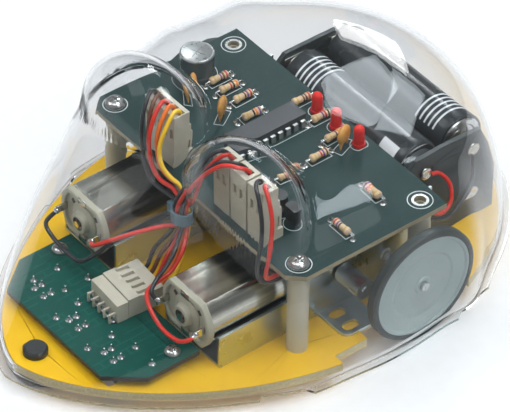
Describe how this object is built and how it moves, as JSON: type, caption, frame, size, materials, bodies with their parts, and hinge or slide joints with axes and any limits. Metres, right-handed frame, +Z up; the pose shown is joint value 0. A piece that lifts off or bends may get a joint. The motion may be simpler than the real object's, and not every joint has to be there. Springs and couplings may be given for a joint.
{
  "type": "line follower robot",
  "caption": "Line follower robot on a yellow foam plate with two geared motors, floor sensors, two circuit boards and batteries under a clear dome.",
  "frame": {"origin": "on the floor, under the middle of the outline", "axes": "+Z up, -Y towards the nose, +X to the robot's left"},
  "size_m": [0.1144, 0.1592, 0.0641],
  "materials": {
    "foam_board": "matte yellow foam board",
    "black_plastic": "smooth black",
    "circuit_board": "dark slate solder mask, semi-gloss",
    "chip_plastic": "moulded black",
    "resistor_ceramic": "beige lacquer with colour bands",
    "capacitor_ceramic": "tan dipped ceramic",
    "capacitor_can": "dark sleeve with a bare metal top",
    "red_lens": "red tinted epoxy",
    "cream_nylon": "cream nylon",
    "nylon_standoff": "translucent grey nylon",
    "screw_steel": "bright plated steel",
    "green_board": "green solder mask",
    "clear_lens": "clear epoxy",
    "dark_lens": "dark filter epoxy",
    "solder": "shiny solder",
    "holder_plastic": "black moulding",
    "cell_wrap": "dark sleeve with plain bands",
    "spring_steel": "nickel plated wire",
    "brass_contact": "plated brass",
    "frame_sheet": "plated sheet",
    "motor_steel": "plated steel can",
    "cap_nylon": "off-white moulding",
    "wire_cover": "red, orange, yellow, brown and black insulation",
    "blue_nylon": "pale blue nylon",
    "clear_shell": "clear vacuum-formed sheet",
    "wheel_plastic": "translucent grey moulding",
    "tyre_rubber": "smooth rubber",
    "shaft_steel": "ground steel",
    "gear_nylon": "ivory acetal"
  },
  "bodies": {
    "chassis": {"base_plate": "foam_board", "front_skid": "black_plastic", "rear_skid": "black_plastic", "main_board": "circuit_board", "control_chip": "chip_plastic", "resistors": "resistor_ceramic", "disc_capacitors": "capacitor_ceramic", "buffer_capacitor": "capacitor_can", "status_leds": "red_lens", "transistors": "chip_plastic", "sensor_header": "cream_nylon", "sensor_plug": "cream_nylon", "supply_headers": "cream_nylon", "supply_plugs": "cream_nylon", "standoffs": "nylon_standoff", "board_screws": "screw_steel", "underside_screws": "screw_steel", "sensor_board": "green_board", "sensor_spacers": "nylon_standoff", "sensor_board_header": "cream_nylon", "sensor_board_plug": "cream_nylon", "infrared_emitters": "clear_lens", "phototransistors": "dark_lens", "solder_joints": "solder", "battery_holder": "holder_plastic", "upper_cells": "cell_wrap", "lower_cells": "cell_wrap", "battery_springs": "spring_steel", "battery_contacts": "brass_contact", "left_gear_frame": "frame_sheet", "right_gear_frame": "frame_sheet", "motor_cans": "motor_steel", "motor_end_caps": "cap_nylon", "motor_terminals": "brass_contact", "shaft_bushes": "gear_nylon", "sensor_wires": "wire_cover", "motor_wires": "wire_cover", "battery_wires": "wire_cover", "cable_tie": "blue_nylon", "switch_body": "frame_sheet"},
    "left_wheel": {"left_wheel_disc": "wheel_plastic", "left_tyre": "tyre_rubber", "left_axle": "shaft_steel", "left_axle_gear": "gear_nylon"},
    "right_wheel": {"right_wheel_disc": "wheel_plastic", "right_tyre": "tyre_rubber", "right_axle": "shaft_steel", "right_axle_gear": "gear_nylon"},
    "left_idler": {"left_idler_gear": "gear_nylon", "left_idler_shaft": "shaft_steel"},
    "right_idler": {"right_idler_gear": "gear_nylon", "right_idler_shaft": "shaft_steel"},
    "left_motor_shaft": {"left_motor_rotor": "shaft_steel", "left_motor_pinion": "brass_contact"},
    "right_motor_shaft": {"right_motor_rotor": "shaft_steel", "right_motor_pinion": "brass_contact"},
    "switch_knob": {"switch_slider": "black_plastic"},
    "dome": {"dome_shell": "clear_shell"}
  },
  "joints": [
    {"name": "left_wheel_spin", "type": "hinge", "parent": "chassis", "child": "left_wheel", "pos_m": [0.0484, 0.021, 0.0173], "axis": [1, 0, 0], "continuous": true},
    {"name": "left_idler_spin", "type": "hinge", "parent": "chassis", "child": "left_idler", "pos_m": [0.027, 0.00577, 0.0202], "axis": [1, 0, 0], "continuous": true},
    {"name": "left_motor_spin", "type": "hinge", "parent": "chassis", "child": "left_motor_shaft", "pos_m": [0.0225, -0.004, 0.0202], "axis": [0, 1, 0], "continuous": true},
    {"name": "right_wheel_spin", "type": "hinge", "parent": "chassis", "child": "right_wheel", "pos_m": [-0.0484, 0.021, 0.0173], "axis": [1, 0, 0], "continuous": true},
    {"name": "right_idler_spin", "type": "hinge", "parent": "chassis", "child": "right_idler", "pos_m": [-0.027, 0.00577, 0.0202], "axis": [1, 0, 0], "continuous": true},
    {"name": "right_motor_spin", "type": "hinge", "parent": "chassis", "child": "right_motor_shaft", "pos_m": [-0.0225, -0.004, 0.0202], "axis": [0, 1, 0], "continuous": true},
    {"name": "switch_slide", "type": "slide", "parent": "chassis", "child": "switch_knob", "axis": [1, 0, 0], "range_m": [0, 0.002]},
    {"name": "dome_lift", "type": "slide", "parent": "chassis", "child": "dome", "axis": [0, 0, 1], "range_m": [0, 0.08]}
  ],
  "couplings": [
    {"joint": "left_idler_spin", "follows": "left_wheel_spin", "ratio": -4.1667},
    {"joint": "left_motor_spin", "follows": "left_wheel_spin", "ratio": -20.833},
    {"joint": "right_idler_spin", "follows": "right_wheel_spin", "ratio": -4.1667},
    {"joint": "right_motor_spin", "follows": "right_wheel_spin", "ratio": 20.833}
  ]
}
